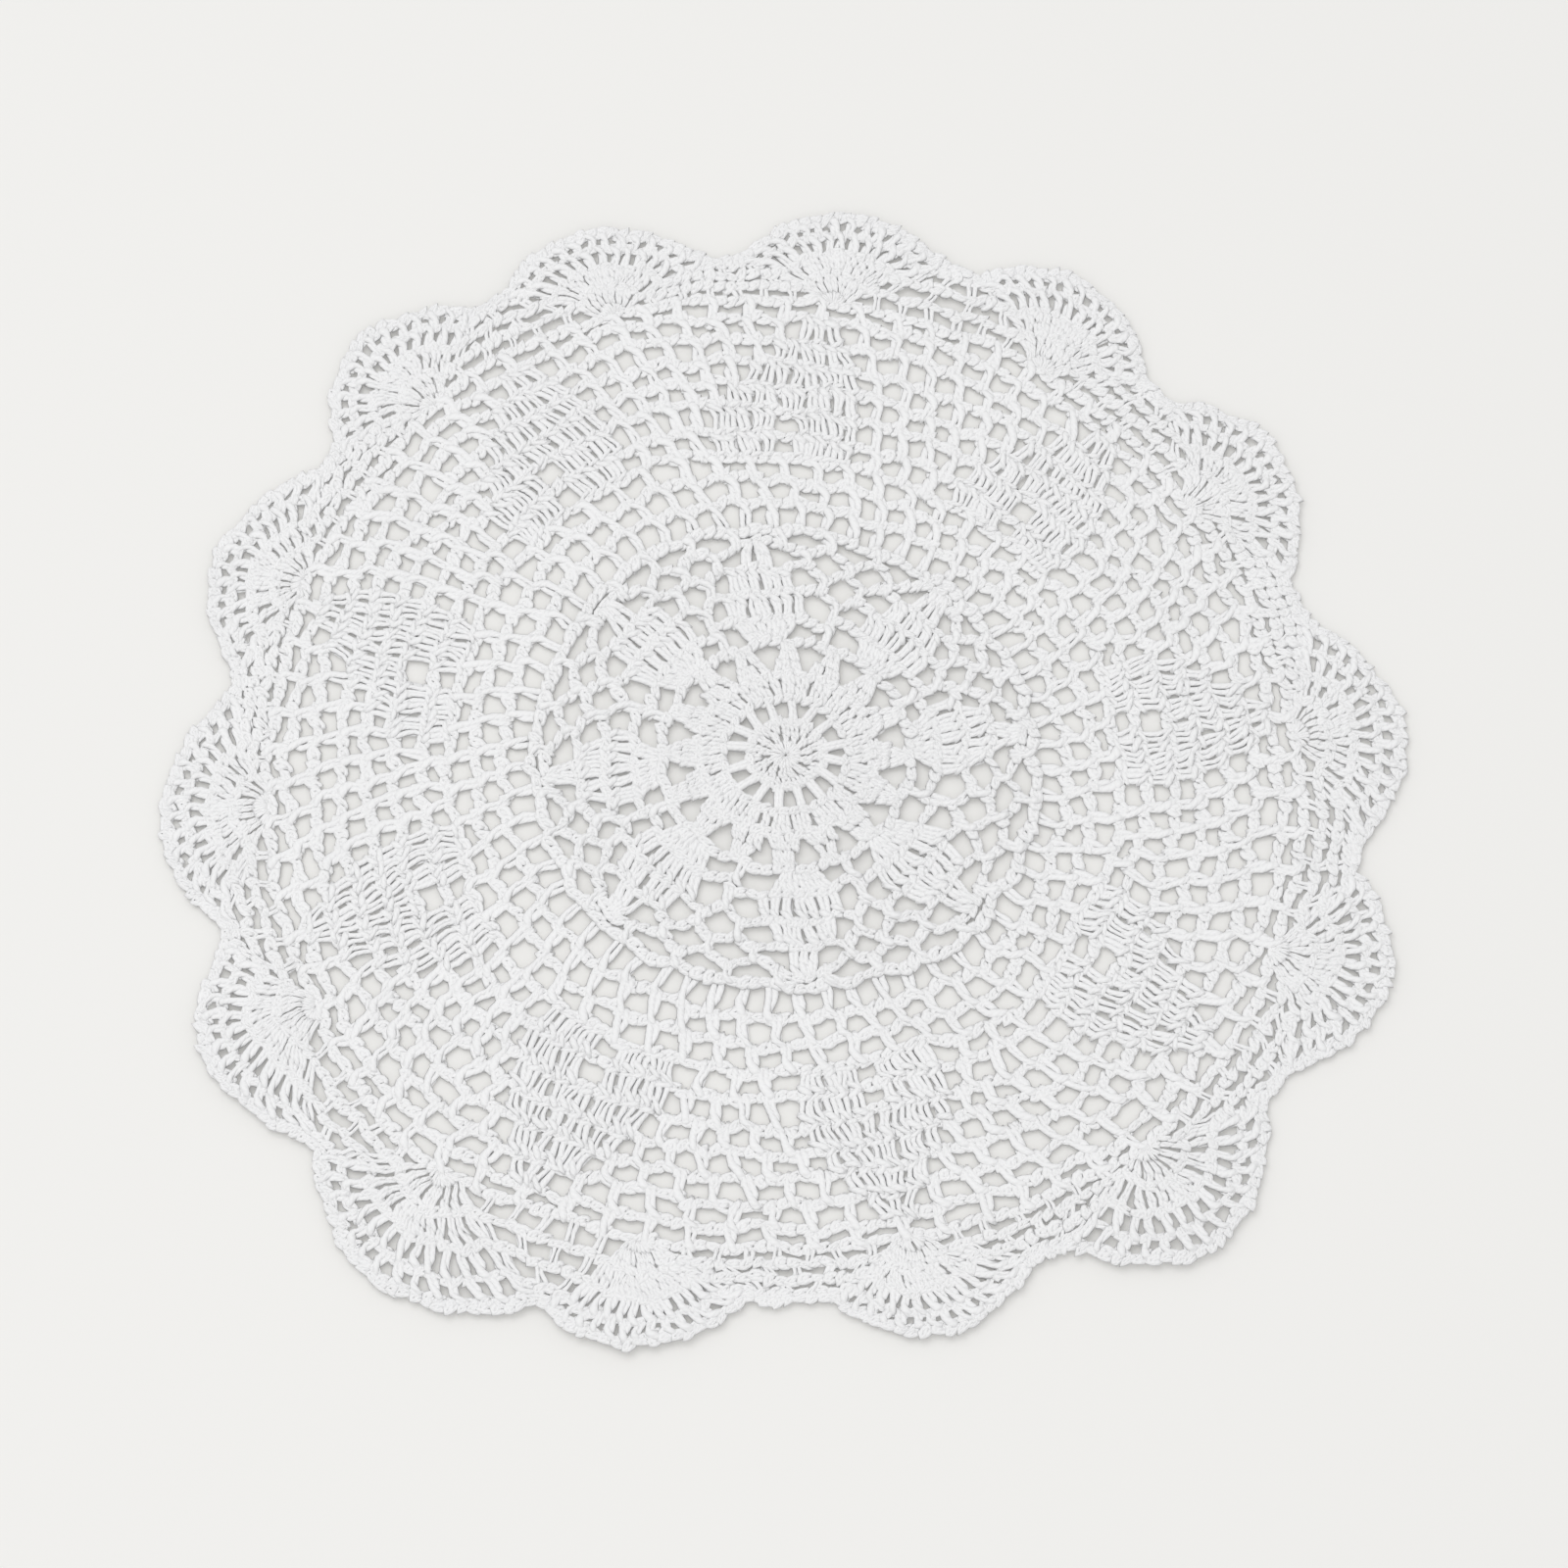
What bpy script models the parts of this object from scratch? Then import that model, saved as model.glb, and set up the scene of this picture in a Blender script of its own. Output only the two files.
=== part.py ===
"""Round lace doily in white cotton crochet, one flat sheet worked from the centre outwards.

From the middle: a disc with a ring of windows, a dense ring ended in shells, eight solid
leaves with chain-stitch gaps between them, ten rounds of square net with nine solid tulips
in it, and a border of fourteen scallops. The sheet lies on z = 0 with its centre at the
origin. Bearings are in degrees, clockwise from +Y as seen from above.
"""

import math

import bmesh
import bpy
from mathutils import Vector
from mathutils.geometry import delaunay_2d_cdt

MM = 0.001

# Driving dimensions, in millimetres.
THICKNESS = 2.2  # two strands of yarn crossing
BAR = 2.4  # one chain or one post of stitches between two gaps
CORNER = 0.16  # share of a gap's width that its rounded corners take at each side
CREST_CURVE = 1.75  # how full a scallop is: 1 is a peaked gable, 2 a parabola
STEPS_PER_SIDE = 5  # outline points on each side of a scallop

COTTON = (0.86, 0.86, 0.87, 1.0)

# One row for each scallop: the bearings of its two feet and of its crest, the radius of the
# crest, the radius of the valley after it, and the radius of the net's edge under it.
SCALLOPS = (
    # foot, crest, foot, crest radius, valley radius, net radius
    (-5.0, 5.9, 17.0, 149.4, 140.2, 124.4),
    (20.5, 29.5, 41.5, 149.8, 135.2, 124.4),
    (45.0, 55.0, 69.0, 146.8, 131.6, 124.0),
    (74.0, 88.0, 99.3, 149.8, 139.6, 124.4),
    (102.5, 113.6, 124.8, 155.0, 143.6, 127.5),
    (128.5, 141.0, 152.3, 160.4, 141.2, 132.5),
    (156.0, 165.5, 175.5, 150.8, 138.4, 127.4),
    (183.5, 196.0, 201.6, 154.6, 150.6, 126.5),
    (202.4, 214.8, 227.3, 164.2, 149.8, 135.0),
    (228.3, 240.0, 250.0, 157.9, 141.5, 129.6),
    (251.5, 262.5, 277.6, 151.0, 134.9, 125.2),
    (279.0, 291.5, 304.0, 149.6, 138.2, 126.0),
    (306.5, 317.5, 327.5, 155.4, 144.1, 129.6),
    (330.5, 339.5, 352.0, 152.4, 137.0, 131.0),
)

# The windows round the centre disc, and the gaps between the shells outside it.
WINDOWS, WINDOW_TURN = 16, -4.5  # how many, and the bearing of the first
WINDOW_INNER, WINDOW_OUTER, SPOKE = 9.0, 14.3, 1.8
SHELL_GAPS, SHELL_TURN = 16, 12.5
SHELL_INNER, SHELL_OUTER, SHELL_GAP = 23.6, 28.2, 4.8

LEAVES = (352.5, 42.0, 84.0, 131.8, 175.0, 225.5, 265.0, 312.3)  # bearings
LEAF_ROUNDS = (
    # inner radius, outer radius, leaf's half width in degrees, gaps between two leaves
    (31.6, 36.0, 11.0, 2),
    (38.6, 43.4, 12.6, 2),
    (45.2, 49.3, 9.4, 3),
    (50.9, 54.8, 5.0, 4),
)

TULIPS = (1.0, 42.0, 84.1, 124.8, 167.1, 209.5, 245.9, 284.5, 323.0)  # bearings
FIRST_NET_ROUND = (59.6, 70.8)  # radii, inside the tulips' bases
FIRST_NET_GAPS = 32
TULIP_BASE = (73.2, 77.6)  # radii of the gaps right under a tulip
TULIP_EYE = (80.2, 90.8, 2.0)  # radii, and half width in degrees
NET_ROUNDS = (
    # inner and outer radius, tulip's half width there in degrees, gaps between two tulips
    (73.2, 84.2, 11.2, 11.2, 2),
    (86.4, 97.7, 10.9, 8.8, 2),
    (99.9, 109.7, 6.6, 4.3, 4),
)
LAST_NET_ROUND = (111.9, 1.6, 5)  # inner radius, tulip's half width, gaps between two tulips


def at(radius, bearing):
    """A point of the plan, in metres."""
    turn = math.radians(bearing)
    return (MM * radius * math.sin(turn), MM * radius * math.cos(turn))


def net_edge(bearing):
    """Radius where the net ends and the scallops start, level between one crest and the next."""
    rows = [(row[1] + turn, row[5]) for turn in (-360, 0, 360) for row in SCALLOPS]
    bearing %= 360
    for (before, first), (after, second) in zip(rows, rows[1:]):
        if before <= bearing < after:
            return first + (second - first) * (bearing - before) / (after - before)
    raise ValueError(bearing)


def outline():
    """The scalloped edge, scallop by scallop, with a short flat valley between two of them."""
    points = []
    for index, (foot, crest, last_foot, top, valley, _) in enumerate(SCALLOPS):
        valley_before = SCALLOPS[index - 1][4]
        for step in range(-STEPS_PER_SIDE, STEPS_PER_SIDE + 1):
            share = step / STEPS_PER_SIDE
            side, low = (crest - foot, valley_before) if step < 0 else (last_foot - crest, valley)
            radius = top - (top - low) * abs(share) ** CREST_CURVE
            points.append(at(radius, crest + share * side))
    return points[::-1]  # anticlockwise, as the gaps are


def gap(inner, outer, inner_ends, outer_ends):
    """A six-sided gap with rounded ends, from the bearings of its ends at both radii."""
    (a0, a1), (b0, b1) = inner_ends, outer_ends
    cut_a, cut_b = CORNER * (a1 - a0), CORNER * (b1 - b0)
    middle = (inner + outer) / 2
    return [
        at(inner, a0 + cut_a),
        at(inner, a1 - cut_a),
        at(middle, (a1 + b1) / 2),
        at(outer, b1 - cut_b),
        at(outer, b0 + cut_b),
        at(middle, (a0 + b0) / 2),
    ]


def ends(radius, start, stop, index, count):
    """The bearings of one gap's ends, of count gaps between start and stop with bars between."""
    bar = math.degrees(BAR / radius)
    width = (stop - start - (count - 1) * bar) / count
    first = start + index * (width + bar)
    return first, first + width


def neighbours(bearings):
    """Each bearing with the next one round, as a pair that rises."""
    return [(a, b if b > a else b + 360) for a, b in zip(bearings, bearings[1:] + bearings[:1])]


def gaps_in_round(bearings, inner, outer, half_inner, half_outer, count):
    """One round of gaps between figures that are solid for half a width at each side."""
    found = []
    for left, right in neighbours(bearings):
        reach = outer or net_edge((left + right) / 2) - BAR / 2
        for index in range(count):
            near = ends(inner, left + half_inner, right - half_inner, index, count)
            far = ends(reach, left + half_outer, right - half_outer, index, count)
            top = outer or net_edge(sum(far) / 2) - BAR / 2
            found.append(gap(inner, top, near, far))
    return found


def centre_gaps():
    """The windows between the spokes, and the three-sided gaps between the shells."""
    found = []
    for index in range(WINDOWS):
        bearing = WINDOW_TURN + 360 * index / WINDOWS
        half = [
            180 / WINDOWS - math.degrees(SPOKE / radius) / 2
            for radius in (WINDOW_INNER, WINDOW_OUTER)
        ]
        found.append(
            [
                at(WINDOW_INNER, bearing - half[0]),
                at(WINDOW_INNER, bearing + half[0]),
                at(WINDOW_OUTER, bearing + half[1]),
                at(WINDOW_OUTER, bearing - half[1]),
            ]
        )
    for index in range(SHELL_GAPS):
        bearing = SHELL_TURN + 360 * index / SHELL_GAPS
        half = math.degrees(SHELL_GAP / SHELL_OUTER) / 2
        middle = (SHELL_INNER + SHELL_OUTER) / 2
        found.append(
            [
                at(SHELL_INNER, bearing),
                at(middle, bearing + 0.7 * half),
                at(SHELL_OUTER, bearing + half),
                at(SHELL_OUTER, bearing - half),
                at(middle, bearing - 0.7 * half),
            ]
        )
    return found


def leaf_gaps():
    """The chain-stitch gaps that widen as the eight leaves narrow."""
    found = []
    for inner, outer, half, count in LEAF_ROUNDS:
        found += gaps_in_round(LEAVES, inner, outer, half, half, count)
    return found


def net_gaps():
    """The net, cut at twice its pitch, round the nine tulips."""
    inner, outer = FIRST_NET_ROUND
    found = []
    for index in range(FIRST_NET_GAPS):
        near, far = (
            ends(radius, 0, 360 + math.degrees(BAR / radius), index, FIRST_NET_GAPS)
            for radius in FIRST_NET_ROUND
        )
        found.append(gap(inner, outer, near, far))
    for inner, outer, half_inner, half_outer, count in NET_ROUNDS:
        found += gaps_in_round(TULIPS, inner, outer, half_inner, half_outer, count)
    inner, half, count = LAST_NET_ROUND
    found += gaps_in_round(TULIPS, inner, None, half, half - 1.0, count)
    return found


def tulip_gaps():
    """Two flat gaps under each tulip, and the open eye in the middle of it."""
    found = []
    inner, outer = TULIP_BASE
    half = NET_ROUNDS[0][2] - math.degrees(BAR / inner)
    for bearing in TULIPS:
        for index in range(2):
            near, far = (
                ends(radius, bearing - half, bearing + half, index, 2) for radius in TULIP_BASE
            )
            found.append(gap(inner, outer, near, far))
        low, high, eye = TULIP_EYE
        found.append(gap(low, high, (bearing - eye, bearing + eye), (bearing - eye, bearing + eye)))
    return found


def plan_triangles(loops):
    """The corners and triangles of the first loop less all the others."""
    corners, faces = [], []
    for loop in loops:
        faces.append(list(range(len(corners), len(corners) + len(loop))))
        corners += [Vector(point) for point in loop]
    places, _, triangles, _, _, inside = delaunay_2d_cdt(corners, [], faces, 1, 1e-7)
    return places, [t for t, owners in zip(triangles, inside) if owners == [0]]


def cotton():
    """White mercerised cotton."""
    material = bpy.data.materials.new("cotton")
    material.use_nodes = True
    shader = material.node_tree.nodes["Principled BSDF"]
    shader.inputs["Base Color"].default_value = COTTON
    shader.inputs["Roughness"].default_value = 0.8
    shader.inputs["Metallic"].default_value = 0.0
    material.diffuse_color = COTTON
    return material


def doily():
    """The whole cloth: its plan on z = 0, extruded up to the yarn's thickness."""
    places, triangles = plan_triangles(
        [outline()] + centre_gaps() + leaf_gaps() + net_gaps() + tulip_gaps()
    )
    sheet = bmesh.new()
    corners = [sheet.verts.new((x, y, 0.0)) for x, y in places]
    for triangle in triangles:
        sheet.faces.new([corners[i] for i in triangle])
    grown = bmesh.ops.extrude_face_region(sheet, geom=list(sheet.faces))["geom"]
    raised = [item for item in grown if isinstance(item, bmesh.types.BMVert)]
    bmesh.ops.translate(sheet, verts=raised, vec=(0.0, 0.0, MM * THICKNESS))
    bmesh.ops.recalc_face_normals(sheet, faces=list(sheet.faces))
    mesh = bpy.data.meshes.new("doily")
    sheet.to_mesh(mesh)
    sheet.free()
    mesh.materials.append(cotton())
    bpy.context.scene.collection.objects.link(bpy.data.objects.new("doily", mesh))


def main():
    for old in list(bpy.data.objects):
        bpy.data.objects.remove(old, do_unlink=True)
    doily()


main()
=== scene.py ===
"""The looks of a round crochet doily, stitch by stitch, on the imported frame.

Every stitch is a length of cotton yarn on its own path. Posts are the tall stitches, from one
line of chain to the next, and lines are the chains that run round the cloth. Sizes in the
tables are millimetres, bearings are degrees clockwise from +Y as seen from above.
"""

import math
from collections import namedtuple

import bpy
import numpy as np
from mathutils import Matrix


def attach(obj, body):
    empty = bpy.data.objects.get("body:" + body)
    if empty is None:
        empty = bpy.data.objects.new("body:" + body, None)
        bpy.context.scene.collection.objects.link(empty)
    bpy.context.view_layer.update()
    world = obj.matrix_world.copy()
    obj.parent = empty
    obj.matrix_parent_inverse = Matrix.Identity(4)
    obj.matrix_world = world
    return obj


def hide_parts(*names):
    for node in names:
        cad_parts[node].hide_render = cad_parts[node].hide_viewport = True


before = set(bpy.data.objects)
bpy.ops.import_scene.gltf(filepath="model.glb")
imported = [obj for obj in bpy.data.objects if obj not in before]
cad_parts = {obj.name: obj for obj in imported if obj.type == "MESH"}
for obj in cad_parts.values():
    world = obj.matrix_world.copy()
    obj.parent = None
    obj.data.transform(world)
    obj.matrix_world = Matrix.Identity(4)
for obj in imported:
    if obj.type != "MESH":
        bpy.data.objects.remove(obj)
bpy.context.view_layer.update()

bl_info = {
    "name": "Crochet doily",
    "version": (1, 0, 0),
    "blender": (4, 5, 0),
    "location": "View3D > Sidebar > Doily",
    "description": "Models a round lace doily in cotton crochet, with its floor, lights and camera",
    "category": "Add Mesh",
}

MM = 0.001
SIDES = 5  # flat sides of a length of yarn, shaded smooth
TOP_FLAT = math.pi / 10  # turns them so that one faces up
UP = np.array((0.0, 0.0, 1.0))
ROUND = np.arange(0, 360, 0.4)  # bearings of a closed line's points

# ---------------------------------------------------------------- the pattern, from the centre

CORE_RAYS, CORE_HOLE, CORE_TOP = 12, 0.35, 3.6  # rays round the pin-hole, their two radii
RIMS = (
    # rounds of stitches outside the rays: inner and outer radius, count and width
    (3.1, 6.3, 13, 0.82),
    (5.8, 9.3, 19, 0.98),
)
DISC_TOP, WINDOW_TOP, RING_TOP, SHELL_TOP = 8.6, 15.0, 20.9, 29.6  # radii of the lines
SPOKES, SPOKE_TURN = 16, 6.8  # between the windows, and the first one's bearing
RING_POSTS = 46  # in the dense ring outside the windows
SHELLS, SHELL_TURN, SHELL_POSTS = 16, 1.4, 4  # how many, the first one's bearing, their posts
SHELL_LEVELS = ((RING_TOP, 3.2), (24.9, 2.2), (SHELL_TOP, 0.9))  # radii, half widths in mm
SHELL_STITCHES = ((0.60, 0.92), (0.46, 0.90))  # width and bulk, from level to level

LEAVES = (352.5, 42.0, 84.0, 131.8, 175.0, 225.5, 265.0, 312.3)  # bearings
LEAF_ROWS = (
    # line's radius, leaf's half width at the foot and at the top in mm, its posts, their
    # width, and the free posts from one leaf to the next
    (36.3, 2.6, 6.6, 6, 0.76, 1),
    (43.3, 7.6, 9.2, 7, 0.90, 1),
    (49.6, 7.2, 6.2, 6, 0.94, 2),
    (54.8, 3.2, 0.9, 3, 0.66, 3),
)
ARCHES = 4  # to each leaf, under the net
HONEYCOMB = 1.6  # mm that the leaves' lines are drawn in and out between the free posts
HONEYCOMB_POST = 0.8  # mm that free posts are shorter for it, at each end on such a line
TIP_RISE = 2.6  # mm that the leaves' tips rise above their last line, to meet the net
STEP_BACK, STEP_ON = 0.25, 0.75  # most degrees that a post steps to stand on one below

NET = (
    # bearing, then the radii of the net's first line, its middle line and its last one
    (0, 60.3, 93.2, 124.4),
    (20, 58.4, 91.7, 123.1),
    (40, 58.8, 91.4, 121.6),
    (60, 59.1, 93.3, 119.5),
    (80, 59.1, 92.1, 121.8),
    (100, 60.6, 94.4, 125.4),
    (120, 62.1, 94.8, 128.1),
    (140, 63.6, 99.6, 131.0),
    (160, 60.3, 93.3, 126.3),
    (180, 59.9, 95.4, 125.4),
    (200, 59.9, 96.6, 128.0),
    (220, 61.8, 99.3, 134.0),
    (240, 60.6, 97.8, 129.3),
    (260, 60.6, 94.2, 125.4),
    (280, 60.3, 95.1, 124.6),
    (300, 60.6, 97.0, 125.9),
    (320, 63.3, 98.9, 129.6),
    (340, 62.1, 99.3, 128.4),
)
NET_START = 60.0  # the first line's usual radius
# Each line's share of the way: 0 is the first, 1 the middle and 2 the last.
NET_SHARES = (0.0, 0.225, 0.415, 0.61, 0.79, 1.0, 1.21, 1.415, 1.625, 1.825, 2.0)
NET_EDGE = len(NET_SHARES) - 1  # the last line
INNER_ROUNDS, NET_ROUNDS = 5, 10  # rounds in the net's inner piece, and in the whole net
EVEN_ROUNDS = (3.4, 1.3, -0.5)  # bearing of each plain round's first post
EVEN_CELLS = 60  # in each plain round
NET_STRAY = 0.25  # spread in degrees of how far the net's posts stray at their feet
# Waves of a line: height in mm, number in the round, and turn in radians from line to line.
WAVES = ((0.35, 11, 2.1), (0.30, 19, -1.3), (0.22, 31, 0.7))
LAST_CELLS = 9  # from one tulip to the next, in the last round
TULIPS = (
    # bearing at the foot, and at the tip
    (-0.5, 4.2),
    (41.7, 43.0),
    (83.9, 85.0),
    (125.1, 127.0),
    (166.9, 167.4),
    (209.3, 209.0),
    (246.0, 248.3),
    (283.7, 289.2),
    (322.0, 327.3),
)
TULIP_ROWS = (
    # share of the lean, half width in degrees at the foot and at the top, posts, and the free
    # cells to the next tulip
    (0.0, 10.0, 10.4, 10, 4),
    (0.1, 10.4, 10.0, 10, 5),
    (0.35, 9.2, 8.2, 10, 6),
    (0.6, 7.2, 6.0, 8, 7),
    (0.85, 4.8, 3.7, 6, 8),
    (1.0, 2.2, 1.1, 3, 9),
)
EYE_ROWS, EYE = 2, 2.6  # a tulip's rows with an open cell, and its half width in degrees

SCALLOPS = (
    # bearings of its first foot, its crest and its last foot, radii of the crest and of the
    # valley after it, and the bearing of its fan
    (-5.0, 5.9, 17.0, 149.4, 140.2, 5.4),
    (20.5, 29.5, 41.5, 149.8, 135.2, 31.0),
    (45.0, 55.0, 69.0, 146.8, 131.6, 56.0),
    (74.0, 88.0, 99.3, 149.8, 139.6, 87.4),
    (102.5, 113.6, 124.8, 155.0, 143.6, 113.6),
    (128.5, 141.0, 152.3, 160.4, 141.2, 140.0),
    (156.0, 165.5, 175.5, 150.8, 138.4, 167.0),
    (183.5, 196.0, 201.6, 154.6, 150.6, 195.6),
    (202.4, 214.8, 227.3, 164.2, 149.8, 217.3),
    (228.3, 240.0, 250.0, 157.9, 141.5, 240.0),
    (251.5, 262.5, 277.6, 151.0, 134.9, 263.6),
    (279.0, 291.5, 304.0, 149.6, 138.2, 291.4),
    (306.5, 317.5, 327.5, 155.4, 144.1, 317.6),
    (330.5, 339.5, 352.0, 152.4, 137.0, 340.0),
)
BorderRow = namedtuple("BorderRow", "rise reach low power fullness count crowd pitch")
BORDER_ROWS = (
    # share of the scallop's height, of its width and of the valley's height, the arch's two
    # powers, posts in the arch, how they crowd to its middle, and their pitch in mm in the
    # valley, where the first row has none
    BorderRow(0.11, 0.14, 0.00, 2.0, 0.50, 7, 1.0, 0.0),
    BorderRow(0.31, 0.30, 0.27, 2.0, 0.55, 9, 1.0, 7.5),
    BorderRow(0.53, 0.52, 0.55, 2.0, 0.65, 13, 1.2, 7.5),
    BorderRow(0.75, 0.74, 0.80, 1.9, 0.80, 13, 1.0, 6.0),
    BorderRow(0.91, 0.92, 0.92, 1.8, 0.90, 14, 1.0, 6.0),
    BorderRow(1.00, 1.00, 1.00, 1.75, 1.00, 27, 1.0, 3.2),
)
FAN_FOOT = 2.2  # about half the width of a fan's foot on the net's edge
FOOT_POINTS, ARCH_POINTS, HOLLOW_POINTS = 40, 60, 30  # of the border's lines
ARCH_PLACES = 100  # where posts may stand, on each half of an arch
ARCH_INSET = 0.04  # share of each half arch that stays free of posts at its foot
EDGE_INSET = 1.15  # from the outline in to the middle of its chain stitches

# ---------------------------------------------------------------- the stitches

# Stitches of one kind, from feet to tops as arrays of plan points. strands are their tables,
# width widens them, taper is the feet's share of it, loose is how far they stray, and bulk is
# how thick their yarn is, each as a share of the usual.
Posts = namedtuple("Posts", "strands feet tops width taper loose bulk", defaults=(1.0,) * 4)
# A closed line of chain stitches by its plan points, with their pitch in mm, and their width
# and how far they stray as shares of the usual.
Line = namedtuple("Line", "points pitch width loose", defaults=(2.85, 1.0, 1.0))

# How far stitches stray: spreads of bell-shaped chance values, in mm, radians or shares.
POST_STRAY = {"foot": 0.15, "top": 0.20, "width": 0.09, "lift": 0.07}
STRAND_STRAY = {"side": 0.08, "share": 0.03, "level": 0.05}
CHAIN_STRAY = {"turn": 0.20, "side": 0.12, "pitch": 0.08, "width": 0.12, "lift": 0.10,
               "level": 0.06}

# Each row: side in mm, share of the stitch's height, mm beyond that share, height off the
# table and the yarn's radius. A post's first strand comes over from the line's left and runs
# down its right side, the second runs down its left, and the third lies low behind the top.
POST = (
    np.array((
        (-1.60, 1.00, 0.60, 1.10, 0.66),
        (-0.80, 1.00, 0.00, 2.05, 0.98),
        (0.06, 0.80, 0.00, 2.15, 1.10),
        (0.58, 0.56, 0.00, 1.80, 0.94),
        (0.62, 0.26, 0.00, 1.60, 0.82),
        (0.62, 0.00, -0.10, 1.90, 0.80),
        (0.58, 0.00, -1.20, 1.00, 0.62),
    )),
    np.array((
        (-0.30, 0.84, 0.00, 1.10, 0.66),
        (-0.60, 0.54, 0.00, 1.50, 0.82),
        (-0.66, 0.26, 0.00, 1.55, 0.82),
        (-0.70, 0.00, -0.10, 1.84, 0.78),
        (-0.68, 0.00, -1.05, 0.95, 0.60),
    )),
    np.array((
        (0.30, 0.40, 0.00, 0.90, 0.66),
        (0.74, 0.76, 0.00, 1.15, 0.84),
        (1.05, 1.00, 0.30, 1.10, 0.70),
    )),
)
# Close posts are two strands side by side, under the yarn that was thrown over the hook and
# with a loop drawn round their feet.
DENSE = (
    np.array((
        (-0.30, 1.00, 0.50, 1.00, 0.56),
        (0.05, 0.86, 0.00, 1.50, 0.74),
        (0.45, 0.62, 0.00, 1.60, 0.80),
        (0.58, 0.34, 0.00, 1.50, 0.80),
        (0.62, 0.12, 0.00, 1.30, 0.76),
        (0.62, 0.00, -0.30, 0.90, 0.60),
    )),
    np.array((
        (-1.30, 1.00, 0.20, 0.90, 0.56),
        (-1.00, 0.80, 0.00, 1.45, 0.74),
        (-0.70, 0.56, 0.00, 1.50, 0.78),
        (-0.58, 0.32, 0.00, 1.50, 0.80),
        (-0.60, 0.12, 0.00, 1.30, 0.76),
        (-0.60, 0.00, -0.30, 0.90, 0.60),
    )),
    np.array((
        (-1.60, 1.00, 0.20, 1.30, 0.62),
        (-0.80, 0.90, 0.00, 2.05, 0.84),
        (0.40, 0.74, 0.00, 2.05, 0.88),
        (1.30, 0.60, 0.00, 1.20, 0.66),
    )),
    np.array((
        (-1.35, 0.00, -0.20, 1.10, 0.58),
        (-0.40, 0.05, 0.00, 1.85, 0.80),
        (0.75, 0.14, 0.00, 1.60, 0.76),
        (1.35, 0.20, 0.00, 0.95, 0.56),
    )),
)
# Short stitches in the solid rounds show as four strands, bent like commas, two over two.
SHORT = (
    np.array((
        (0.66, 0.00, -0.30, 0.90, 0.56),
        (0.74, 0.14, 0.00, 1.40, 0.76),
        (0.60, 0.38, 0.00, 1.60, 0.82),
        (0.05, 0.58, 0.00, 1.10, 0.60),
    )),
    np.array((
        (-0.56, 0.00, -0.30, 0.90, 0.56),
        (-0.64, 0.24, 0.00, 1.40, 0.76),
        (-0.86, 0.50, 0.00, 1.60, 0.82),
        (-1.35, 0.70, 0.00, 1.10, 0.58),
    )),
    np.array((
        (0.86, 0.42, 0.00, 0.95, 0.58),
        (0.72, 0.60, 0.00, 1.50, 0.80),
        (0.28, 0.82, 0.00, 1.85, 0.86),
        (-0.55, 0.98, 0.10, 1.20, 0.60),
    )),
    np.array((
        (-0.42, 0.54, 0.00, 0.95, 0.58),
        (-0.66, 0.70, 0.00, 1.50, 0.80),
        (-1.10, 0.90, 0.00, 1.80, 0.84),
        (-1.70, 1.00, 0.50, 1.10, 0.56),
    )),
)
# A ray is two strands side by side, which part a little at both ends.
RAY = (
    np.array((
        (-0.62, 0.00, -0.70, 0.80, 0.50),
        (-0.54, 0.10, 0.00, 1.48, 0.60),
        (-0.50, 0.50, 0.00, 1.60, 0.62),
        (-0.62, 0.84, 0.00, 1.50, 0.62),
        (-0.85, 1.00, 0.40, 0.95, 0.50),
    )),
    np.array((
        (0.60, 0.00, -0.70, 0.80, 0.50),
        (0.56, 0.06, 0.00, 1.56, 0.60),
        (0.52, 0.50, 0.00, 1.36, 0.62),
        (0.66, 0.80, 0.00, 1.26, 0.62),
        (0.82, 1.00, 0.40, 0.85, 0.50),
    )),
)
FULL_HEIGHT = 6.0  # of a post whose ends reach as far beyond their lines as the tables say
CHAIN_LEAN = -0.2  # radians that a chain stitch turns off its line
CHAIN_MIDDLE = 0.35  # share of the pitch that lies on the stitch's own point of the line
CHAIN_BULK = 0.4  # share of its yarn's thickness that a chain stitch keeps however narrow
END_REACH = 0.1  # share of its reach beyond its line that a post keeps however tapered
CLEAR = 0.02  # least gap between a post's yarn and the table, before it is pressed
LOOK = 0.3  # how far before and behind a point a line's direction is taken
# Each row: share of the pitch along the line, side in mm, height and radius. A chain stitch
# is one loop that comes out of the loop before it and lies over the foot of the next, and the
# yarn of its back crosses it.
CHAIN = (
    np.array((
        (-0.22, 0.42, 0.90, 0.72),
        (0.02, 0.78, 1.15, 0.84),
        (0.44, 0.90, 1.45, 0.88),
        (0.84, 0.58, 1.80, 0.84),
        (1.04, -0.52, 1.74, 0.84),
        (0.60, -0.90, 1.46, 0.88),
        (0.10, -0.78, 1.15, 0.84),
        (-0.22, -0.38, 0.90, 0.72),
    )),
    np.array((
        (0.08, 0.62, 1.25, 0.60),
        (0.46, 0.02, 1.78, 0.76),
        (0.84, -0.58, 1.25, 0.60),
    )),
)

# The web, the cloth's own thin sheet, lies inside the yarn.
WEB_LOW, WEB_HIGH = 0.85, 1.25  # its faces' height off the table, before it is pressed
WEB_LINE, WEB_STEP = 2.1, 3.2  # its width under a line, and the length of its pieces there
WEB_POST = 1.5  # its width under a post
WEB_THIN = 0.02  # step in thickness between neighbours under posts, so that no faces are level

END_ROUND, WEB_ROUND = 0.75, 0.7  # place round the yarn whose shade its ends and the web take
YARN_START = 7.0  # most mm by which a strand's plies start later than another's

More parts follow.
